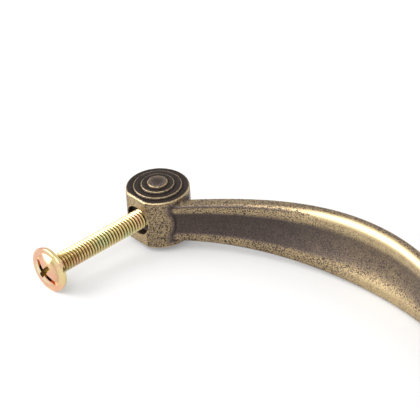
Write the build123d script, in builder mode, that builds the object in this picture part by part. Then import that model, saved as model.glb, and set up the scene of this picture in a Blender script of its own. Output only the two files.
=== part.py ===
from build123d import *
import os
from math import atan2, cos, degrees, radians, sin, sqrt

# Cast bow pull for a cabinet door or drawer, with the two machine screws that hold it.
# Millimetres. +X runs along the hole spacing, +Y goes into the door and +Z is up.
# The origin lies midway between the screw axes, on the plane of the door's face.

# Feet: upright round posts, each with a narrow flat that seats on the door
hole_spacing = 96.0
foot_diameter = 12.7
foot_height = 10.7  # rim to rim, without the rosettes
foot_edge = 0.35  # bevel along the rims
seat_width = 5.0  # of the flat, across the foot

# Rosette on both ends of a foot: three round steps, the smallest one highest
boss_diameter = 4.0
inner_ring_diameter = 6.6
outer_ring_diameter = 9.6
boss_rise = 0.35
inner_ring_rise = 0.35
outer_ring_rise = 0.35

# Bow: a circular arc seen from above, wider in the middle than at the feet
bow_reach = 21.5  # door to the inner face, at mid-span
bow_shoulder = 1.3  # from a foot's rim down to the edge of the bow
bow_mid_width = 16.0
bow_swell = 1.7  # how late the widening comes: 1 spreads it along the bow, 2 keeps it nearer to the middle
bow_edge = 2.6  # thickness along the upper and lower edges
bow_crown = 1.5  # bulge of the front face
spring_angle = 37.0  # where the inner face's arc ends in a foot, from the hole line
spring_depth = 0.5  # and how deep it ends below the foot's wall
flute_end_depth = 0.35
flute_mid_depth = 1.4
land_end = 1.6  # flat rim beside the flute
land_mid = 3.8
arris_end = 0.3  # bevel between the inner face and the edge
arris_mid = 1.2
front_edge = 0.5  # bevel between the edge and the front face
bow_sections = 11

# Screws: M4 by 30 with a flanged dome head, slotted across a cross recess
thread_diameter = 4.0
thread_clearance = 0.08  # all round, between the screw and the tapped hole
grip = 22.4  # door thickness between the foot and the head
engagement = 7.6  # thread inside the foot
drive_room = 2.4  # hole left beyond the tip
tip_chamfer = 0.5
mouth_gap = 0.95  # all round the screw, in the counterbore
mouth_depth = 1.6
head_diameter = 9.4
head_rim = 0.9  # thickness of the flange
head_edge = 0.3  # bevel along the flange's outer edge
dome_diameter = 7.2
dome_rise = 1.2
slot_length = 6.8
slot_width = 0.95
slot_depth = 1.2
cross_span = 4.4
cross_arm = 1.1
cross_depth = 1.9
cross_taper = 8.0
recess_turn = -38.0

# Places worked out from those sizes
foot_radius = foot_diameter / 2
foot_x = hole_spacing / 2
foot_y = -sqrt(foot_radius**2 - (seat_width / 2) ** 2)
rim = foot_height / 2
outer_top = rim + outer_ring_rise
inner_top = outer_top + inner_ring_rise
boss_top = inner_top + boss_rise
spring_radius = foot_radius - spring_depth
spring_x = foot_x - spring_radius * cos(radians(spring_angle))
spring_y = foot_y + spring_radius * sin(radians(spring_angle))
bow_sagitta = bow_reach + spring_y
bow_radius = (spring_x**2 + bow_sagitta**2) / (2 * bow_sagitta)
bow_centre_y = bow_radius - bow_reach
bow_half_angle = degrees(atan2(spring_x, bow_centre_y - spring_y))
bow_end_width = foot_height - 2 * bow_shoulder
thread_radius = thread_diameter / 2
head_radius = head_diameter / 2
dome_radius = dome_diameter / 2
flange_y = grip + head_rim
head_y = flange_y + dome_rise


def bow_plane(angle):
    """Plane square to the bow at an angle from mid-span, with local X pointing to the front."""
    outward = Vector(sin(radians(angle)), -cos(radians(angle)), 0)
    along = Vector(cos(radians(angle)), sin(radians(angle)), 0)
    return Plane(origin=Vector(0, bow_centre_y, 0) + outward * bow_radius, x_dir=outward, z_dir=along)


def between(end, mid, swell):
    """Size part of the way from its value at the feet to its value at mid-span."""
    return end + (mid - end) * swell


# The bow, its two feet and their screw holes are one casting
with BuildPart() as bow_pull:
    # Feet, turned about their upright axes
    for side in (-1, 1):
        foot_plane = Plane(origin=(side * foot_x, foot_y, 0), x_dir=(side, 0, 0), z_dir=(0, -side, 0))
        with BuildSketch(foot_plane) as profile:
            with BuildLine():
                upper = Polyline(
                    (foot_radius, 0),
                    (foot_radius, rim),
                    (outer_ring_diameter / 2, rim),
                    (outer_ring_diameter / 2, outer_top),
                    (inner_ring_diameter / 2, outer_top),
                    (inner_ring_diameter / 2, inner_top),
                    (boss_diameter / 2, inner_top),
                    (boss_diameter / 2, boss_top),
                    (0, boss_top),
                )
                mirror(upper, about=Plane.XZ)
                Line((0, boss_top), (0, -boss_top))
            make_face()
            wall_ends = profile.vertices().group_by(Axis.X)[-1].group_by(Axis.Y)
            chamfer(wall_ends[0] + wall_ends[-1], foot_edge)
        revolve(axis=Axis(foot_plane.origin, foot_plane.y_dir))

    # Bow, lofted through sections that swell towards mid-span
    for i in range(bow_sections):
        along = 2 * i / (bow_sections - 1) - 1
        swell = cos(radians(90 * along)) ** bow_swell
        half = between(bow_end_width, bow_mid_width, swell) / 2
        lip = half - between(land_end, land_mid, swell)
        with BuildSketch(bow_plane(bow_half_angle * along)) as section:
            with BuildLine():
                ThreePointArc((0, -lip), (between(flute_end_depth, flute_mid_depth, swell), 0), (0, lip))
                Polyline((0, lip), (0, half), (bow_edge, half))
                ThreePointArc((bow_edge, half), (bow_edge + bow_crown, 0), (bow_edge, -half))
                Polyline((bow_edge, -half), (0, -half), (0, -lip))
            make_face()
            corners = section.vertices().filter_by(lambda v: abs(abs(v.Y) - half) < 1e-6).group_by(Axis.X)
            chamfer(corners[0], between(arris_end, arris_mid, swell))
            chamfer(corners[-1], front_edge)
    loft()

    # Flats on the door side, and a blind tapped hole with a wide mouth in each
    split(bisect_by=Plane.XZ, keep=Keep.TOP)
    with Locations(Plane(origin=(0, 0, 0), x_dir=(1, 0, 0), z_dir=(0, 1, 0))):
        with GridLocations(hole_spacing, 0, 2, 1):
            CounterBoreHole(
                radius=thread_radius + thread_clearance,
                counter_bore_radius=thread_radius + mouth_gap,
                counter_bore_depth=mouth_depth,
                depth=engagement + drive_room,
            )
bow_pull.part.label = "bow_pull"

# Screws, turned about the hole axes, with the head on the far side of the door
screws = {}
for side, x in (("left", -foot_x), ("right", foot_x)):
    with BuildPart() as screw:
        with BuildSketch(Plane(origin=(x, 0, 0), x_dir=(1, 0, 0), z_dir=(0, 0, 1))) as outline:
            with BuildLine():
                Polyline(
                    (0, head_y),
                    (0, -engagement),
                    (thread_radius - tip_chamfer, -engagement),
                    (thread_radius, tip_chamfer - engagement),
                    (thread_radius, grip),
                    (head_radius, grip),
                    (head_radius, flange_y),
                    (dome_radius, flange_y),
                )
                ball_radius = (dome_radius**2 + dome_rise**2) / (2 * dome_rise)
                RadiusArc((dome_radius, flange_y), (0, head_y), -ball_radius)
            make_face()
            chamfer(outline.vertices().group_by(Axis.X)[-1].sort_by(Axis.Y)[-1], head_edge)
        revolve(axis=Axis((x, 0, 0), (0, 1, 0)))
        head_top = Plane(origin=(x, head_y, 0), x_dir=(1, 0, 0), z_dir=(0, 1, 0))
        with BuildSketch(head_top):
            Rectangle(slot_length, slot_width, rotation=recess_turn)
        extrude(amount=-slot_depth, mode=Mode.SUBTRACT)
        with BuildSketch(head_top):
            for turn in (recess_turn, recess_turn + 90):
                Rectangle(cross_span, cross_arm, rotation=turn)
        extrude(amount=-cross_depth, taper=cross_taper, mode=Mode.SUBTRACT)
    screw.part.label = f"{side}_screw"
    screws[f"{side}_screw"] = screw.part

os.makedirs("parts", exist_ok=True)
export_step(bow_pull.part, "parts/bow_pull.step")
for name, solid in screws.items():
    export_step(solid, f"parts/{name}.step")
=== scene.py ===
import bpy
import bmesh
from math import asin, atan2, cos, copysign, hypot, pi, radians, sin, sqrt
from mathutils import Matrix, Vector


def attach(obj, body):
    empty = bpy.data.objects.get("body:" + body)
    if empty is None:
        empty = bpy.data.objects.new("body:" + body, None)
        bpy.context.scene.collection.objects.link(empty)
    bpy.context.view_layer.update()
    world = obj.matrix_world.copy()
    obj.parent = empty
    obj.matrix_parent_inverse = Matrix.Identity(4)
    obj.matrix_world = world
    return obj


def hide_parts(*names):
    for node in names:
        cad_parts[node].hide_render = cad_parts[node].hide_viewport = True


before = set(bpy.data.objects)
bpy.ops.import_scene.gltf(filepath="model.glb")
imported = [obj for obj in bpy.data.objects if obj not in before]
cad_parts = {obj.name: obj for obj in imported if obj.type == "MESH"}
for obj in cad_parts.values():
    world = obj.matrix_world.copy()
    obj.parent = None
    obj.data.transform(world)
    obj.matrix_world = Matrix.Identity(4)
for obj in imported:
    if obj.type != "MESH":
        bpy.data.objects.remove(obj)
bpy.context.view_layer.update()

# All lengths below are millimetres, in the part's own frame
MM = 0.001

# Feet
HOLE_SPACING = 96.0
FOOT_RADIUS = 6.35
FOOT_HEIGHT = 10.7  # rim to rim, without the rosettes
FOOT_EDGE = 0.35  # round along the rims
SEAT_WIDTH = 5.0  # of the flat that lies on the door
SEAT_EDGE = 0.3  # worn bevel along the top and bottom of the flat
SEAT_BEVELS = (radians(25), radians(50))  # slopes of the two facets of that bevel
RING_RADII = (4.8, 3.3, 2.0)  # rosette steps, outermost first
RING_RISES = (0.35, 0.35, 0.35)
STEP_LEAN = 0.12  # how far a step's wall leans out at its foot
STEP_ROUND = 0.1  # round along a step's edge

# Bow
BOW_REACH = 21.5
BOW_END_HALF = 4.05
BOW_MID_HALF = 8.0
BOW_SWELL = 1.7
BOW_EDGE = 2.6
BOW_CROWN = 1.5
SPRING_ANGLE = radians(37.0)
SPRING_DEPTH = 0.5
FLUTE_END_DEPTH = 0.35
FLUTE_MID_DEPTH = 1.4
FLUTE_POWER = 1.5  # over 1 the flute runs out softly into its lip
LAND_END = 1.6
LAND_MID = 3.8
LIP_ROUND = 1.2  # how far the flute's soft lip reaches into the land at mid-span
ARRIS_END = 0.45
ARRIS_MID = 1.8
FRONT_ROUND = 0.7
CAST_FILLET = 0.5  # soft corner where the bow grows out of a foot
FILLET_LIMIT = 0.05  # keeps the fillet's sums finite where the bow runs along the foot's wall

# Screws
THREAD_RADIUS = 2.0
THREAD_ROOT = 1.58
THREAD_SHARPNESS = 0.94  # 1 is a pointed thread, lower is rounder
PITCH = 0.7
HOLE_RADIUS = 2.08
HOLE_DEPTH = 10.0
MOUTH_RADIUS = 2.95
MOUTH_DEPTH = 1.6
MOUTH_EDGE = 0.3  # width of the worn edge round the mouth
MOUTH_FLARE = ((0.15, 0.0), (0.045, 0.3), (0.0, 0.6))  # how much wider the mouth is at each depth
MOUTH_FLOOR_FALL = 0.3  # the mouth's floor slopes towards the thread
GRIP = 22.4
TIP_Y = -7.6
TIP_CHAMFER = 0.5
HEAD_RADIUS = 4.7
HEAD_RIM = 0.9
HEAD_EDGE = 0.32  # round along the flange
DOME_RADIUS = 3.6
DOME_RISE = 1.19
SLOT = (6.8, 0.95, 1.2)  # length, width and depth below the top of the dome
CROSS = (4.4, 1.1, 1.9)
CROSS_FLOOR = 0.86  # the cross arms' span at their floor, as a share of that at the top
RECESS_TURN = radians(38.0)

# Fineness of the meshes, enough for smooth outlines and for the wear and painted shade that are stored on
# their points
ARRIS_FACETS = 10
FRONT_FACETS = 6
FLUTE_CUTS = 27
CROWN_CUTS = 19
LAND_CUTS = 9
BOW_INSIDE_FOOT = radians(2.5)  # from an end of the bow, hidden in the foot
BOW_FINE_REACH = radians(9.0)  # from an end of the bow, fine for the soft corner
BOW_STEPS = (3, 65, 110, 65, 3)  # along the bow: hidden, fine, free, fine and hidden stretch
FOOT_TURNS = 160
FOOT_TOP_STEPS = 10
FOOT_WALL_STEPS = 14
ROUND_STEP = 15  # degrees from facet to facet of a small round
HOLE_TURNS = 96
HOLE_OVERSHOOT = 1.0  # how far the hole's cutter stands out of the foot
HEAD_TURNS = 96
THREAD_TURN_STEPS = 36
THREAD_CUTS = 11
SPARE_TURNS = 5  # of thread, trimmed off at the tip and inside the head
CASTING_CREASE = radians(20)
SCREW_CREASE = radians(30)

# Tolerances
NEAR = 1e-4
CUT_SNAP = 1e-5
THREAD_WELD = 1e-3
SLIVER = 1e-7  # metres

# Places worked out from those sizes
FOOT_X = HOLE_SPACING / 2
FOOT_Y = -sqrt(FOOT_RADIUS**2 - (SEAT_WIDTH / 2) ** 2)
RIM = FOOT_HEIGHT / 2
SPRING_X = FOOT_X - (FOOT_RADIUS - SPRING_DEPTH) * cos(SPRING_ANGLE)
SPRING_Y = FOOT_Y + (FOOT_RADIUS - SPRING_DEPTH) * sin(SPRING_ANGLE)
BOW_RADIUS = (SPRING_X**2 + (BOW_REACH + SPRING_Y) ** 2) / (2 * (BOW_REACH + SPRING_Y))
BOW_CENTRE = Vector((0, BOW_RADIUS - BOW_REACH, 0))
BOW_HALF_ANGLE = atan2(SPRING_X, BOW_CENTRE.y - SPRING_Y)
HEAD_Y = GRIP + HEAD_RIM + DOME_RISE
UP = Vector((0, 0, 1))
SCREW_AXIS = Vector((0, 1, 0))
RING_CORNERS = [(radius, RIM + sum(RING_RISES[:i + 1])) for i, radius in enumerate(RING_RADII)]

# Wear of the bow, with painted shade and painted dark reflections worked in: 0 is dark patina, 1 is bright
# brass. Unless a comment says otherwise, a pair gives the value at the feet and the value at mid-span.
HOLLOW_WEAR = (0.15, 0.48)  # along the flute
HOLLOW_LATE = 3  # the power of the swell that it follows
UPPER_LAND_WEAR = (0.68, 0.92)
UPPER_LIP = (0.4, 1.3)  # how far inside the flute's lip the dark begins to fade
UPPER_FADE = (0.7, 2.0)  # and over what width
UPPER_RUB_AND_SHADE = (-0.15, 0.3)  # added on the upper arris: painted shade over its reflection near the feet, rubbed brass towards mid-span
UPPER_RUB_AND_SHADE_SWELL = (0.5, 0.88)  # the swell at which that turns from painted shade to rubbing, and at which the rubbing is full
ARRIS_LINE_SHADE = 0.35  # painted shade: wear lost along a fine dark line on the upper arris near the feet, over its reflection
LINE_REACH = 0.35
LINE_SWELL = (0.6, 0.9)  # the swell at which that line fades and is gone
LOWER_LAND_WEAR = (0.62, 0.96)
LOWER_LAND_LATE = 3
LOWER_LIP = (0.5, 2.2)
LOWER_FADE = (0.8, 3.0)
LOWER_LATE = 5
LOWER_RUB = -0.1
ARRIS_RUBBED = 0.6  # how much of an arris, from its outer end, is rubbed in full
EDGE_FROM = 0.4  # the share of an arris's depth at which the bow's edge begins
EDGE_DARK_REFLECTION = 0.4  # painted dark reflection: less wear on the bow's upper and lower edge, growing towards mid-span
FRONT_WEAR = 0.65
FRONT_FADE = 0.4
CREASE_PATINA_AND_SHADE = (0.2, 1.0)  # share of the wear kept in the corner with the foot, and away from it; the darkening there is partly patina and partly painted shade
CREASE_REACH = 0.35
EDGE_CREASE_REACH = 0.9

# Wear of the feet, with painted shade in the corner with the bow and at the foot of each rosette step. A
# pair named FADE gives the distances at which a change begins and ends.
ON_FOOT = 0.02  # this near to the foot's wall, a point belongs to the foot
MOUTH_WEAR = (0.95, 0.18)  # on the worn edge of the hole's mouth, and inside it
MOUTH_FADE = (0.02, 0.35)
HOLE_ROOM = 0.1  # below the hole's floor, what still counts as the hole
SEAT_WEAR = 0.86
RING_LINE_WEAR = 0.95
RING_LINE_FADE = (0.05, 0.18)
RIM_DROP = 0.1  # the bright line lies this far below the rim
RIM_FADE = (0.1, 0.4)
BOSS_WEAR = (0.12, 0.3)  # in the middle of the boss, and added towards its edge
BOSS_FADE = (0.6, 1.9)
TERRACE_WEAR = 0.06
# Partly patina, partly painted shade: darker over these distances towards the foot of each rosette step
TERRACE_SHADE_FADE = (0.0, 0.6)
WALL_WEAR = 0.63
# Partly patina, partly painted shade: the wall darkens over these distances towards its corner with the bow
WALL_SHADE_FADE = (-0.25, 0.6)

# Painted shade in the screw's thread groove and deep in its recess: 0 is the plating's own colour, 1 is the
# darkest painted shade
THREAD_SHADE_REACH = 0.75  # how far up the thread's flanks it lies
RECESS_SHADE = 0.4
RECESS_SHADE_FROM = 0.5  # the depth in the recess at which it begins
UNDER_HEAD = 0.01  # the thread ends this far below the head


# Meshes

def piece_from(name, bm):
    """Turn a bmesh in millimetres into an object in metres at the origin."""
    bmesh.ops.scale(bm, vec=(MM, MM, MM), verts=bm.verts)
    mesh = bpy.data.meshes.new(name)
    bm.to_mesh(mesh)
    bm.free()
    piece = bpy.data.objects.new(name, mesh)
    bpy.context.scene.collection.objects.link(piece)
    return piece


def combine(piece, operation, tools):
    """Join the tools to a piece, or cut them out of it, and delete them."""
    for tool in tools:
        step = piece.modifiers.new(tool.name, "BOOLEAN")
        step.operation = operation
        step.solver = "EXACT"
        step.object = tool
    graph = bpy.context.evaluated_depsgraph_get()
    mesh = bpy.data.meshes.new_from_object(piece.evaluated_get(graph))
    piece.modifiers.clear()
    piece.data = mesh
    for tool in tools:
        bpy.data.objects.remove(tool)


def store(piece, name, value_at):
    """Keep a value for each point of a piece, which its material reads by that name."""
    layer = piece.data.attributes.new(name, "FLOAT", "POINT")
    layer.data.foreach_set("value", [value_at(v.co / MM) for v in piece.data.vertices])


def shade(piece, crease):
    """Smooth shading, with a hard line where two faces meet at more than the crease angle."""
    bm = bmesh.new()
    bm.from_mesh(piece.data)
    # The cuts leave a few points on top of each other, with empty slivers between them
    bmesh.ops.remove_doubles(bm, verts=bm.verts, dist=SLIVER)
    bmesh.ops.dissolve_degenerate(bm, edges=bm.edges, dist=SLIVER)
    for face in bm.faces:
        face.smooth = True
    for edge in bm.edges:
        edge.smooth = edge.calc_face_angle(0) < crease
    bm.to_mesh(piece.data)
    bm.free()


def wire(bm, points):
    """Join points by edges, one after the other."""
    verts = [bm.verts.new(p) for p in points]
    return [bm.edges.new(pair) for pair in zip(verts, verts[1:])]


def close_up(bm):
    """Weld a spun shape, cap any open end and turn its faces outwards."""
    bmesh.ops.remove_doubles(bm, verts=bm.verts, dist=NEAR)
    bmesh.ops.holes_fill(bm, edges=[e for e in bm.edges if e.is_boundary], sides=0)
    bmesh.ops.recalc_face_normals(bm, faces=bm.faces)


def cut_off(bm, point, normal):
    """Remove what lies beyond a plane."""
    bmesh.ops.bisect_plane(bm, geom=bm.verts[:] + bm.edges[:] + bm.faces[:], dist=CUT_SNAP,
                           plane_co=point, plane_no=normal, clear_outer=True)


def turned(points, centre, axis, steps):
    """Solid turned about an axis from points given as (radius, height along the axis)."""
    bm = bmesh.new()
    out = Vector((1, 0, 0))
    wire(bm, [Vector(centre) + out * r + axis * h for r, h in points])
    bmesh.ops.spin(bm, geom=bm.edges[:], cent=centre, axis=axis, angle=2 * pi, steps=steps,
                   use_merge=True)
    close_up(bm)
    return bm


# Casting

def between(first, last, share):
    """Value part of the way from one to another, such as from the feet to mid-span."""
    return first + (last - first) * share


def smooth_step(low, high, value):
    """0 below low, 1 above high, and a soft rise between them."""
    t = max(0.0, min(1.0, (value - low) / (high - low)))
    return t * t * (3 - 2 * t)


def swell_at(angle):
    """How far the bow has swollen at an angle from mid-span: 0 at the feet, 1 in the middle."""
    return max(0, cos(pi / 2 * max(-1, min(1, angle / BOW_HALF_ANGLE)))) ** BOW_SWELL


def section_sizes(swell):
    """Half width of the bow, half width of its flute and size of its arris."""
    half = between(BOW_END_HALF, BOW_MID_HALF, swell)
    lip = half - between(LAND_END, LAND_MID, swell)
    return half, lip, between(ARRIS_END, ARRIS_MID, swell)


def on_bow(point):
    """Angle from mid-span, depth below the inner face's rim and height of a point."""
    spoke = Vector(point) - BOW_CENTRE
    return atan2(spoke.x, -spoke.y), hypot(spoke.x, spoke.y) - BOW_RADIUS, spoke.z


def bow_section(depth, height, swell):
    """Take a point of the section at mid-span to its place in a slimmer section nearer to a foot."""
    side = copysign(1, height)
    height = abs(height)
    half, lip, arris = section_sizes(swell)
    mid_lip = BOW_MID_HALF - LAND_MID
    mid_wall = BOW_EDGE - FRONT_ROUND
    hollow = between(FLUTE_END_DEPTH, FLUTE_MID_DEPTH, swell) / FLUTE_MID_DEPTH
    if depth > mid_wall:
        return depth, side * height * half / BOW_MID_HALF
    if height <= mid_lip:
        return depth * hollow, side * height * lip / mid_lip
    if depth > ARRIS_MID:
        run = (depth - ARRIS_MID) / (mid_wall - ARRIS_MID)
        return arris + run * (mid_wall - arris), side * half
    if height > BOW_MID_HALF - ARRIS_MID:
        shrink = arris / ARRIS_MID
        return depth * shrink, side * (half - (BOW_MID_HALF - height) * shrink)
    run = (height - mid_lip) / (BOW_MID_HALF - ARRIS_MID - mid_lip)
    return depth * hollow, side * (lip + run * (half - arris - lip))


def cast_fillet(v):
    """How far a point of the bow is lifted to make a round inside corner with the foot's wall."""
    out = Vector((v.co.x - copysign(FOOT_X, v.co.x), v.co.y - FOOT_Y, 0))
    gap = out.length - FOOT_RADIUS
    cosine = v.normal.dot(out.normalized())
    sine = max(FILLET_LIMIT, sqrt(max(0, 1 - cosine**2)))
    run = CAST_FILLET * min(1.0, sine / max(FILLET_LIMIT, 1 + cosine))
    reach = max(0, min(run, run - gap / sine))
    return CAST_FILLET - sqrt(CAST_FILLET**2 - reach**2)


def bow_profile():
    """Section of the bow at mid-span, as a closed wire with round corners, a flute and a crowned front."""
    bm = bmesh.new()
    lip = BOW_MID_HALF - LAND_MID
    soft_lip = lip + LIP_ROUND
    inner_y = BOW_CENTRE.y - BOW_RADIUS
    front_y = inner_y - BOW_EDGE
    outline = [(inner_y, -lip), (inner_y, lip), (inner_y, BOW_MID_HALF), (front_y, BOW_MID_HALF),
               (front_y, -BOW_MID_HALF), (inner_y, -BOW_MID_HALF)]
    verts = [bm.verts.new((0, y, z)) for y, z in outline]
    bm.faces.new(verts)
    arrises = (verts[2], verts[5])
    front_corners = (verts[3], verts[4])
    for corners, size, facets in ((arrises, ARRIS_MID, ARRIS_FACETS),
                                  (front_corners, FRONT_ROUND, FRONT_FACETS)):
        bmesh.ops.bevel(bm, geom=corners, offset=size, offset_type="OFFSET", segments=facets,
                        profile=0.5, affect="VERTICES", material=-1)
    bmesh.ops.delete(bm, geom=bm.faces[:], context="FACES_ONLY")
    inner = [e for e in bm.edges if all(v.co.y > inner_y - NEAR for v in e.verts)]
    flute = [e for e in inner if all(abs(v.co.z) < lip + NEAR for v in e.verts)]
    lands = [e for e in inner if e not in flute]
    crown = [e for e in bm.edges if all(abs(v.co.y - front_y) < NEAR for v in e.verts)]
    for edges, cuts in ((flute, FLUTE_CUTS), (crown, CROWN_CUTS), (lands, LAND_CUTS)):
        bmesh.ops.subdivide_edges(bm, edges=edges, cuts=cuts)
    for v in bm.verts:
        if v.co.y > inner_y - NEAR and abs(v.co.z) < soft_lip:
            v.co.y -= FLUTE_MID_DEPTH * (1 - (v.co.z / soft_lip) ** 2) ** FLUTE_POWER
        elif v.co.y < front_y + FRONT_ROUND - NEAR:
            v.co.y -= BOW_CROWN * (1 - (v.co.z / BOW_MID_HALF) ** 2)
    return bm


def bow():
    """Fluted bow: its section at mid-span, spun along the arc and slimmed towards the feet."""
    bm = bow_profile()
    bmesh.ops.rotate(bm, verts=bm.verts, cent=BOW_CENTRE,
                     matrix=Matrix.Rotation(-BOW_HALF_ANGLE, 3, "Z"))
    ring = bm.edges[:]
    fine_from = BOW_HALF_ANGLE - BOW_INSIDE_FOOT
    fine_to = BOW_HALF_ANGLE - BOW_FINE_REACH
    stops = (-BOW_HALF_ANGLE, -fine_from, -fine_to, fine_to, fine_from, BOW_HALF_ANGLE)
    for start, stop, steps in zip(stops, stops[1:], BOW_STEPS):
        spun = bmesh.ops.spin(bm, geom=ring, cent=BOW_CENTRE, axis=UP, angle=stop - start, steps=steps)
        ring = [e for e in spun["geom_last"] if isinstance(e, bmesh.types.BMEdge)]
    close_up(bm)
    for v in bm.verts:
        angle, depth, height = on_bow(v.co)
        depth, height = bow_section(depth, height, swell_at(angle))
        spoke = BOW_RADIUS + depth
        v.co = BOW_CENTRE + Vector((sin(angle) * spoke, -cos(angle) * spoke, height))
    bm.normal_update()
    for v in bm.verts:
        v.co += v.normal * cast_fillet(v)
    return piece_from("bow_casting", bm)


def rounded(outer, top, size):
    """Quarter round between a flat top and a wall, given by the corner that it replaces."""
    angles = [radians(90 - ROUND_STEP * i) for i in range(90 // ROUND_STEP + 1)]
    return [(outer - size * (1 - cos(a)), top - size * (1 - sin(a))) for a in angles]


def terrace_points(inner, outer, height):
    """Evenly spaced points of a flat ring, without the last one."""
    return [(inner + (outer - inner) * i / FOOT_TOP_STEPS, height) for i in range(FOOT_TOP_STEPS)]


def foot_outline():
    """Outline of a foot, from its axis on top to its axis below, fine enough to carry the wear and painted
    shade.
    """
    upper = []
    inner = 0.0
    for radius, top in reversed(RING_CORNERS):
        upper += terrace_points(inner, radius - STEP_ROUND, top)
        upper += rounded(radius, top, STEP_ROUND)
        inner = radius + STEP_LEAN
    upper += terrace_points(inner, FOOT_RADIUS - FOOT_EDGE, RIM)
    upper += rounded(FOOT_RADIUS, RIM, FOOT_EDGE)
    upper += [(FOOT_RADIUS, (RIM - FOOT_EDGE) * (1 - i / FOOT_WALL_STEPS))
              for i in range(1, FOOT_WALL_STEPS + 1)]
    return upper + [(r, -h) for r, h in reversed(upper[:-1])]


def foot(side):
    """Round foot with ringed ends, cut flat on the door side."""
    bm = turned(foot_outline(), (side * FOOT_X, FOOT_Y, 0), UP, FOOT_TURNS)
    cuts = [((0, 0, 0), (0, 1, 0))]
    for up in (-1, 1):
        cuts += [((0, 0, up * (RIM - SEAT_EDGE)), (0, cos(a), up * sin(a))) for a in SEAT_BEVELS]
    for point, normal in cuts:
        cut_off(bm, point, normal)
        close_up(bm)
    return piece_from("foot", bm)


def hole_cutter(side):
    """Tapped hole with a wide mouth and a worn edge, as the tool that cuts it."""
    outline = [(0, HOLE_OVERSHOOT), (MOUTH_RADIUS + HOLE_OVERSHOOT, HOLE_OVERSHOOT)]
    outline += [(MOUTH_RADIUS + flare, -depth) for flare, depth in MOUTH_FLARE]
    outline += [(MOUTH_RADIUS, -MOUTH_DEPTH), (HOLE_RADIUS, -MOUTH_DEPTH - MOUTH_FLOOR_FALL),
                (HOLE_RADIUS, -HOLE_DEPTH), (0, -HOLE_DEPTH)]
    return piece_from("hole", turned(outline, (side * FOOT_X, 0, 0), SCREW_AXIS, HOLE_TURNS))


def bow_wear_and_shade(angle, depth, height, from_foot):
    """Wear of the bow: dark along the flute, rubbed on the lands and most of all on the arrises, with
    painted shade in the corner with the foot and on the upper arris near the feet, and painted dark
    reflections on its edges.
    """
    swell = swell_at(angle)
    half, lip, arris = section_sizes(swell)
    hollow = between(*HOLLOW_WEAR, swell**HOLLOW_LATE)
    if height > 0:
        land = between(*UPPER_LAND_WEAR, swell)
        # Painted shade over the upper arris's reflection near the feet, rubbed brass towards mid-span
        rub_and_shade = between(*UPPER_RUB_AND_SHADE, smooth_step(*UPPER_RUB_AND_SHADE_SWELL, swell))
        edge = lip - between(*UPPER_LIP, swell)
        fade = between(*UPPER_FADE, swell)
        # Painted shade: a fine dark line along the upper arris near the feet
        line = 1 - smooth_step(0, LINE_REACH, abs(height - half + ARRIS_RUBBED * arris))
        line *= ARRIS_LINE_SHADE * (1 - smooth_step(*LINE_SWELL, swell))
    else:
        land = between(*LOWER_LAND_WEAR, swell**LOWER_LAND_LATE)
        rub_and_shade = LOWER_RUB
        edge = lip - between(*LOWER_LIP, swell**LOWER_LATE)
        fade = between(*LOWER_FADE, swell**LOWER_LATE)
        line = 0
    height = abs(height)
    wear_and_shade = between(hollow, land, smooth_step(edge, edge + fade, height))
    crease = CREASE_REACH
    if height > half - arris:
        on_edge = smooth_step(EDGE_FROM * arris, arris, depth)
        on_arris = smooth_step(half - arris, half - ARRIS_RUBBED * arris, height)
        wear_and_shade += rub_and_shade * (1 - on_edge) * on_arris
        # Painted dark reflection on the bow's upper and lower edge, growing towards mid-span
        wear_and_shade -= EDGE_DARK_REFLECTION * swell * on_edge
        crease = EDGE_CREASE_REACH
    if depth < arris:
        wear_and_shade -= line
    on_front = smooth_step(BOW_EDGE - FRONT_FADE, BOW_EDGE + FRONT_FADE, depth)
    wear_and_shade = between(wear_and_shade, FRONT_WEAR, on_front)
    # Darker in the corner with the foot, partly patina and partly painted shade; on the arris it reaches
    # further and hides its reflection there
    return wear_and_shade * between(*CREASE_PATINA_AND_SHADE, smooth_step(0, crease, from_foot))


def rosette_wear_and_shade(from_axis, height):
    """Wear of a foot's ringed end: dark terraces, darkest at the foot of each step with patina and painted
    shade, between bright lines, and a half-rubbed boss.
    """
    corner = min(hypot(from_axis - radius, height - top) for radius, top in RING_CORNERS)
    line = RING_LINE_WEAR * (1 - smooth_step(*RING_LINE_FADE, corner))
    rim = 1 - smooth_step(*RIM_FADE, hypot(from_axis - FOOT_RADIUS, height - RIM + RIM_DROP))
    boss = 0
    if from_axis < RING_RADII[-1]:
        boss = BOSS_WEAR[0] + BOSS_WEAR[1] * smooth_step(*BOSS_FADE, from_axis)
    # Patina and painted shade at the foot of each step
    grooves = [from_axis - radius - STEP_LEAN for radius in RING_RADII if from_axis > radius]
    terrace = TERRACE_WEAR * smooth_step(*TERRACE_SHADE_FADE, min(grooves, default=0))
    return max(terrace, line, rim, boss)


def wall_wear_and_shade(angle, depth, height):
    """Wear of a foot's wall: rubbed, but dark in the corner all round the bow, partly patina and partly
    painted shade.
    """
    swell = swell_at(angle)
    half, lip, _ = section_sizes(swell)
    flute = between(FLUTE_END_DEPTH, FLUTE_MID_DEPTH, swell) * max(0, 1 - (height / lip) ** 2)
    outside = max(height - half, flute - depth, depth - BOW_EDGE - BOW_CROWN,
                  BOW_RADIUS * (abs(angle) - BOW_HALF_ANGLE))
    return WALL_WEAR * smooth_step(*WALL_SHADE_FADE, outside)


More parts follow.
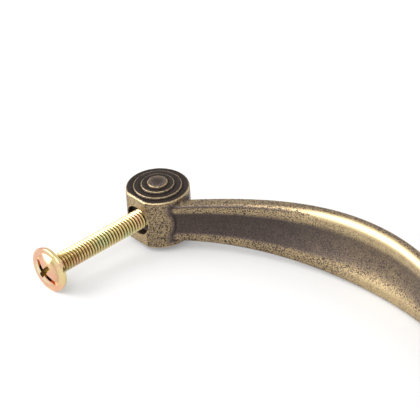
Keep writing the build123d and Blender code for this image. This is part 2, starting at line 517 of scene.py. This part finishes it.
def wear_and_shade_at(point):
    """How far the patina is rubbed back to brass at a point of the casting, with painted shade and painted
    dark reflections worked in: 0 dark, 1 bright.
    """
    angle, depth, height = on_bow(point)
    across = abs(point.x) - FOOT_X
    from_axis = hypot(across, point.y - FOOT_Y)
    if from_axis > FOOT_RADIUS + ON_FOOT:
        return bow_wear_and_shade(angle, depth, height, from_axis - FOOT_RADIUS)
    height = abs(height)
    if hypot(across, height) < MOUTH_RADIUS + MOUTH_EDGE and point.y > -HOLE_DEPTH - HOLE_ROOM:
        surface = min(0, FOOT_Y + sqrt(FOOT_RADIUS**2 - across**2))
        return between(*MOUTH_WEAR, smooth_step(*MOUTH_FADE, surface - point.y))
    if point.y > -ON_FOOT:
        return SEAT_WEAR
    if height > RIM - FOOT_EDGE:
        return rosette_wear_and_shade(from_axis, height)
    return wall_wear_and_shade(angle, depth, height)


def bow_pull():
    """The whole casting: bow, feet and holes in one mesh, with its wear and painted shade stored on its
    points.
    """
    piece = bow()
    combine(piece, "UNION", [foot(-1), foot(1)])
    combine(piece, "DIFFERENCE", [hole_cutter(-1), hole_cutter(1)])
    store(piece, "wear_and_shade", wear_and_shade_at)
    shade(piece, CASTING_CREASE)
    return piece


# Screws

def thread():
    """Rolled thread: one pitch of its profile, carried along the helix and trimmed at both ends."""
    bm = bmesh.new()
    edge = wire(bm, [(THREAD_RADIUS, TIP_Y - 2 * PITCH, 0), (THREAD_RADIUS, TIP_Y - PITCH, 0)])
    bmesh.ops.subdivide_edges(bm, edges=edge, cuts=THREAD_CUTS)
    for v in bm.verts:
        phase = 2 * pi * v.co.y / PITCH
        crest = (1 + asin(THREAD_SHARPNESS * cos(phase)) / asin(THREAD_SHARPNESS)) / 2
        v.co.x = THREAD_ROOT + (THREAD_RADIUS - THREAD_ROOT) * crest
    turns = int((GRIP - TIP_Y) / PITCH) + SPARE_TURNS
    bmesh.ops.spin(bm, geom=bm.edges[:], cent=(0, 0, 0), axis=SCREW_AXIS, angle=2 * pi * turns,
                   steps=turns * THREAD_TURN_STEPS, dvec=(0, PITCH / THREAD_TURN_STEPS, 0))
    bmesh.ops.remove_doubles(bm, verts=bm.verts, dist=THREAD_WELD)
    for v in bm.verts:
        limit = THREAD_RADIUS - TIP_CHAMFER + max(0, v.co.y - TIP_Y)
        radius = hypot(v.co.x, v.co.z)
        if radius > limit:
            v.co.x *= limit / radius
            v.co.z *= limit / radius
    for y, outward in ((TIP_Y, -1), (GRIP + HEAD_RIM / 2, 1)):
        cut_off(bm, (0, y, 0), (0, outward, 0))
    close_up(bm)
    return piece_from("machine_screw", bm)


def screw_head():
    """Flanged head with a low dome."""
    flange = GRIP + HEAD_RIM
    ball = (DOME_RADIUS**2 + DOME_RISE**2) / (2 * DOME_RISE)
    outline = [(0, GRIP), (HEAD_RADIUS - 0.5 * HEAD_EDGE, GRIP)]
    outline += [(HEAD_RADIUS - HEAD_EDGE * (1 - cos(a)), flange - HEAD_EDGE * (1 - sin(a)))
                for a in (radians(d) for d in range(-30, 91, 30))]
    outline += [(DOME_RADIUS * sin(a), HEAD_Y - ball + sqrt(ball**2 - (DOME_RADIUS * sin(a)) ** 2))
                for a in (radians(d) for d in range(90, -1, -6))]
    return piece_from("head", turned(outline, (0, 0, 0), SCREW_AXIS, HEAD_TURNS))


def recess_arm(length, width, depth, turn, floor):
    """One arm of the recess, as the tool that cuts it, narrower at its floor."""
    bm = bmesh.new()
    bmesh.ops.create_cube(bm, size=1)
    bmesh.ops.scale(bm, vec=(length, 2 * depth, width), verts=bm.verts)
    for v in bm.verts:
        if v.co.y < 0:
            v.co.x *= floor
            v.co.z *= floor
    bmesh.ops.rotate(bm, verts=bm.verts, cent=(0, 0, 0), matrix=Matrix.Rotation(-turn, 3, "Y"))
    bmesh.ops.translate(bm, verts=bm.verts, vec=(0, HEAD_Y, 0))
    return piece_from("recess", bm)


def painted_shade_at(point):
    """How much painted shade lies at a point of the screw: none outside, most in the thread's groove, some
    deep in the recess.
    """
    from_axis = hypot(point.x, point.z)
    if point.y < GRIP - UNDER_HEAD:
        flank = between(THREAD_ROOT, THREAD_RADIUS, THREAD_SHADE_REACH)
        return 1 - smooth_step(THREAD_ROOT, flank, from_axis)
    if from_axis < SLOT[0] / 2:
        return RECESS_SHADE * smooth_step(RECESS_SHADE_FROM, SLOT[2], HEAD_Y - point.y)
    return 0.0


def machine_screw():
    """One screw on the axis through the origin."""
    piece = thread()
    combine(piece, "UNION", [screw_head()])
    combine(piece, "DIFFERENCE", [
        recess_arm(*SLOT, RECESS_TURN, 1.0),
        recess_arm(*CROSS, RECESS_TURN, CROSS_FLOOR),
        recess_arm(*CROSS, RECESS_TURN + pi / 2, CROSS_FLOOR),
    ])
    # Painted shade for the thread's groove and the recess, read by the material
    store(piece, "painted_shade", painted_shade_at)
    shade(piece, SCREW_CREASE)
    return piece


# Materials

def linear(code):
    """Linear colour of an sRGB hex value."""
    parts = [int(code[i:i + 2], 16) / 255 for i in (1, 3, 5)]
    return [p / 12.92 if p <= 0.04045 else ((p + 0.055) / 1.055) ** 2.4 for p in parts] + [1]


def add(tree, kind, inputs=(), **settings):
    """Add a node with its settings, and give each named input a value or a link."""
    node = tree.nodes.new(kind)
    for name, value in settings.items():
        setattr(node, name, value)
    for key, value in dict(inputs).items():
        if isinstance(value, bpy.types.NodeSocket):
            tree.links.new(value, node.inputs[key])
        else:
            node.inputs[key].default_value = value
    return node


def new_material(name):
    """Empty node material and its tree."""
    material = bpy.data.materials.new(name)
    material.use_nodes = True
    material.node_tree.nodes.clear()
    return material, material.node_tree


# Patterns, from speck to speck. The specks and pits are drawn a little coarser than the real ones, which
# would blur into one tone at this size.
BRASS_SPECKS = 0.25
BRASS_PITS = 0.28
BRASS_CLOUDS = 3.5
BRASS_BUMP = 0.05  # height of the grain
CHROMATE_CLOUDS = 4.0
HEAD_BLUSH = 0.16  # how much rosier the head is than the thread
BLUSH_RUN = 0.2  # the length over which that changes, under the head


def antique_brass():
    """Antique brass plating on a zinc casting: brown patina, rubbed off edges and lands in grainy specks,
    with painted shade and painted dark reflections from the stored values.
    """
    material, tree = new_material("antique_brass_rubbed")
    place = add(tree, "ShaderNodeTexCoord").outputs["Object"]
    # The stored values hold rubbed brass and patina, and also painted shade and painted dark reflections
    wear_and_shade = add(tree, "ShaderNodeAttribute", attribute_name="wear_and_shade").outputs["Fac"]
    grain = add(tree, "ShaderNodeTexNoise", {
        "Vector": place, "Scale": 1 / (BRASS_SPECKS * MM), "Detail": 2.0, "Roughness": 0.6})
    cloud = add(tree, "ShaderNodeTexNoise", {
        "Vector": place, "Scale": 1 / (BRASS_CLOUDS * MM), "Detail": 3.0})
    pits = add(tree, "ShaderNodeTexNoise", {
        "Vector": place, "Scale": 1 / (BRASS_PITS * MM), "Detail": 1.0})

    # Grain and clouds break up the wear, less so where the patina is whole
    specks = add(tree, "ShaderNodeMath", {0: grain.outputs["Fac"], 1: 1.3, 2: -0.65},
                 operation="MULTIPLY_ADD")
    clouds = add(tree, "ShaderNodeMath", {0: cloud.outputs["Fac"], 1: 0.3, 2: -0.15},
                 operation="MULTIPLY_ADD")
    broken = add(tree, "ShaderNodeMath", {0: specks.outputs[0], 1: clouds.outputs[0]}, operation="ADD")
    grainy = add(tree, "ShaderNodeMapRange", {
        "Value": wear_and_shade, "From Min": 0.1, "From Max": 0.6, "To Min": 0.25, "To Max": 1.0})
    bare = add(tree, "ShaderNodeMath", {0: broken.outputs[0], 1: grainy.outputs[0], 2: wear_and_shade},
               operation="MULTIPLY_ADD")

    # Pits keep their patina, except where the brass is rubbed most
    pit = add(tree, "ShaderNodeMapRange", {
        "Value": pits.outputs["Fac"], "From Min": 0.5, "From Max": 0.62, "To Min": 0.0, "To Max": 0.85},
        interpolation_type="SMOOTHSTEP")
    held = add(tree, "ShaderNodeMapRange", {
        "Value": wear_and_shade, "From Min": 0.8, "From Max": 1.0, "To Min": 1.0, "To Max": 0.1})
    dark = add(tree, "ShaderNodeMath", {0: pit.outputs[0], 1: held.outputs[0]}, operation="MULTIPLY")
    sparse = add(tree, "ShaderNodeMapRange", {
        "Value": wear_and_shade, "From Min": 0.2, "From Max": 0.6, "To Min": 0.25, "To Max": 1.0})
    spots = add(tree, "ShaderNodeMath", {0: dark.outputs[0], 1: sparse.outputs[0]}, operation="MULTIPLY")
    clean = add(tree, "ShaderNodeMath", {0: 1.0, 1: spots.outputs[0]}, operation="SUBTRACT")
    rubbed = add(tree, "ShaderNodeMath", {0: bare.outputs[0], 1: clean.outputs[0]}, operation="MULTIPLY",
                 use_clamp=True)

    tone = add(tree, "ShaderNodeValToRGB", {"Fac": rubbed.outputs[0]})
    ramp = tone.color_ramp.elements
    ramp[0].color = linear("#2b2421")
    ramp[1].color = linear("#c6b189")
    for place_on_ramp, code in ((0.3, "#695d57"), (0.7, "#a38e6c")):
        ramp.new(place_on_ramp).color = linear(code)
    rough = add(tree, "ShaderNodeMapRange", {"Value": rubbed.outputs[0], "To Min": 0.55, "To Max": 0.38})
    bump = add(tree, "ShaderNodeBump", {
        "Height": grain.outputs["Fac"], "Strength": 0.25, "Distance": BRASS_BUMP * MM})
    shader = add(tree, "ShaderNodeBsdfPrincipled", {
        "Base Color": tone.outputs[0], "Metallic": 1.0, "Roughness": rough.outputs[0],
        "Normal": bump.outputs["Normal"]})
    add(tree, "ShaderNodeOutputMaterial", {"Surface": shader.outputs[0]})
    return material


def yellow_zinc():
    """Yellow chromate over zinc plating on steel: glossy gold with clouds of pink and green, and painted
    shade in the thread's groove and the recess.
    """
    material, tree = new_material("zinc_plate_yellow_chromate")
    place = add(tree, "ShaderNodeTexCoord").outputs["Object"]
    cloud = add(tree, "ShaderNodeTexNoise", {
        "Vector": place, "Scale": 1 / (CHROMATE_CLOUDS * MM), "Detail": 2.0})

    # The head is rosier and smoother than the thread
    along = add(tree, "ShaderNodeSeparateXYZ", {0: place}).outputs["Y"]
    blush = add(tree, "ShaderNodeMapRange", {
        "Value": along, "From Min": (GRIP - BLUSH_RUN) * MM, "From Max": GRIP * MM,
        "To Min": 0.0, "To Max": HEAD_BLUSH})
    rosy = add(tree, "ShaderNodeMath", {0: cloud.outputs["Fac"], 1: blush.outputs[0]}, operation="ADD")
    rough = add(tree, "ShaderNodeMapRange", {
        "Value": blush.outputs[0], "From Max": HEAD_BLUSH, "To Min": 0.26, "To Max": 0.15})

    pink = add(tree, "ShaderNodeMapRange", {"Value": rosy.outputs[0], "From Min": 0.55, "From Max": 0.75})
    green = add(tree, "ShaderNodeMapRange", {"Value": rosy.outputs[0], "From Min": 0.46, "From Max": 0.3})
    gold = add(tree, "ShaderNodeMixRGB", {
        "Fac": pink.outputs[0], "Color1": linear("#d8c690"), "Color2": linear("#dfae92")})
    tinted = add(tree, "ShaderNodeMixRGB", {
        "Fac": green.outputs[0], "Color1": gold.outputs[0], "Color2": linear("#c9ca9b")})
    painted_shade = add(tree, "ShaderNodeAttribute", attribute_name="painted_shade").outputs["Fac"]
    # Painted shade: the colour turns dark olive in the thread's groove and deep in the recess
    shaded = add(tree, "ShaderNodeMixRGB", {
        "Fac": painted_shade, "Color1": tinted.outputs[0], "Color2": linear("#6b5a32")})
    shader = add(tree, "ShaderNodeBsdfPrincipled", {
        "Base Color": shaded.outputs[0], "Metallic": 1.0, "Roughness": rough.outputs[0]})
    add(tree, "ShaderNodeOutputMaterial", {"Surface": shader.outputs[0]})
    return material


# Stage

CARD_COLOUR = "#e3e3e3"
CARD_GLOW = 0.2  # share of plain white in what the lens sees of the card
CARD_HALF = 1500  # half the side of the card
FILL_STRENGTH = 0.85
# Name, place in metres, width and height in metres, watts
SOFTBOXES = (
    ("left_softbox", (0.5, 0.55, 0.42), 0.7, 0.8, 8.0),
    ("top_softbox", (-0.28, 0.36, 0.66), 0.5, 0.5, 2.4),
)


def seen(tree):
    """1 where the lens, a reflection or a see-through piece shows a surface, 0 where it only gives light."""
    light = add(tree, "ShaderNodeLightPath")
    shown = light.outputs["Is Camera Ray"]
    for ray in ("Is Glossy Ray", "Is Transmission Ray"):
        either = add(tree, "ShaderNodeMath", {0: shown, 1: light.outputs[ray]}, operation="MAXIMUM")
        shown = either.outputs[0]
    return shown


def white_card():
    """Matt white card: white to the lens and in reflections, but it keeps the part's shadow."""
    material, tree = new_material("white_card")
    card = add(tree, "ShaderNodeBsdfDiffuse", {"Color": linear(CARD_COLOUR)})
    glow = add(tree, "ShaderNodeEmission", {"Strength": 1.0})
    share = add(tree, "ShaderNodeMath", {0: seen(tree), 1: CARD_GLOW}, operation="MULTIPLY")
    mix = add(tree, "ShaderNodeMixShader", {0: share.outputs[0], 1: card.outputs[0], 2: glow.outputs[0]})
    add(tree, "ShaderNodeOutputMaterial", {"Surface": mix.outputs[0]})
    return material


def floor():
    """White card on which the part lies: it touches the bow's lower edge and both screw heads."""
    bow_contact = Vector((0, -BOW_REACH - ARRIS_MID, -BOW_MID_HALF))
    head_contact = Vector((0, GRIP + HEAD_RIM - HEAD_EDGE, -HEAD_RADIUS))
    rise = head_contact - bow_contact
    tilt = atan2(rise.z, rise.y)
    bm = bmesh.new()
    bmesh.ops.create_grid(bm, x_segments=1, y_segments=1, size=CARD_HALF)
    bmesh.ops.rotate(bm, verts=bm.verts, cent=(0, 0, 0), matrix=Matrix.Rotation(tilt, 3, "X"))
    bmesh.ops.translate(bm, verts=bm.verts, vec=bow_contact)
    card = piece_from("floor", bm)
    card.data.materials.append(white_card())


def softbox(name, place, width, height, power):
    """Area light that faces the part."""
    lamp = bpy.data.lights.new(name, "AREA")
    lamp.shape = "RECTANGLE"
    lamp.size = width
    lamp.size_y = height
    lamp.energy = power
    holder = bpy.data.objects.new(name, lamp)
    holder.location = place
    holder.rotation_euler = (-Vector(place)).to_track_quat("-Z", "Y").to_euler()
    bpy.context.scene.collection.objects.link(holder)


def studio():
    """White world to the lens and in reflections, with a slightly dimmer fill on the card."""
    world = bpy.data.worlds.new("studio")
    bpy.context.scene.world = world
    world.use_nodes = True
    tree = world.node_tree
    tree.nodes.clear()
    fill = add(tree, "ShaderNodeBackground", {"Color": linear("#ffffff"), "Strength": FILL_STRENGTH})
    white = add(tree, "ShaderNodeBackground", {"Color": linear("#ffffff"), "Strength": 1.0})
    mix = add(tree, "ShaderNodeMixShader", {0: seen(tree), 1: fill.outputs[0], 2: white.outputs[0]})
    add(tree, "ShaderNodeOutputWorld", {"Surface": mix.outputs[0]})
    for box in SOFTBOXES:
        softbox(*box)


# Camera, set so that the right-hand foot falls on its pixel of the 420 by 420 photograph
PHOTO_SIZE = 420
AZIMUTH = radians(229.9)
ELEVATION = radians(34.7)
ROLL = radians(-3.77)  # about level with the card, on which the part lies at a tilt
DISTANCE = 1.06  # metres
FARTHEST = 10  # metres
PIXELS_PER_MM = 5.055
FOOT_PIXEL = (159.25, 207.9)
SENSOR = 36  # width of the camera's frame


def camera():
    """Long lens at the photograph's angle."""
    back = Vector((sin(AZIMUTH) * cos(ELEVATION), -cos(AZIMUTH) * cos(ELEVATION), sin(ELEVATION)))
    right = Vector((cos(AZIMUTH), sin(AZIMUTH), 0))
    right.rotate(Matrix.Rotation(ROLL, 3, back))
    up = back.cross(right)
    pixel = MM / PIXELS_PER_MM
    aim = Vector((FOOT_X, FOOT_Y, 0)) * MM
    aim += right * (PHOTO_SIZE / 2 - FOOT_PIXEL[0]) * pixel
    aim -= up * (PHOTO_SIZE / 2 - FOOT_PIXEL[1]) * pixel
    lens = bpy.data.cameras.new("camera")
    lens.sensor_width = SENSOR
    lens.lens = SENSOR * DISTANCE / (PHOTO_SIZE * pixel)
    lens.clip_end = FARTHEST
    holder = bpy.data.objects.new("camera", lens)
    holder.location = aim + back * DISTANCE
    holder.rotation_euler = Matrix((right, up, back)).transposed().to_euler()
    bpy.context.scene.collection.objects.link(holder)
    bpy.context.scene.camera = holder


# Pieces on their bodies

camera()
studio()
floor()

casting = bow_pull()
casting.data.materials.clear()
casting.data.materials.append(antique_brass())
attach(casting, "pull")
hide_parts("bow_pull")

first_screw = machine_screw()
first_screw.data.materials.clear()
first_screw.data.materials.append(yellow_zinc())
for side, x in (("left", -FOOT_X), ("right", FOOT_X)):
    mesh = first_screw.data.copy()
    mesh.transform(Matrix.Translation((x * MM, 0, 0)))
    screw = bpy.data.objects.new(f"{side}_machine_screw", mesh)
    bpy.context.scene.collection.objects.link(screw)
    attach(screw, f"{side}_screw")
    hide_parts(f"{side}_screw")
bpy.data.objects.remove(first_screw)

bpy.context.scene.view_settings.view_transform = "Standard"
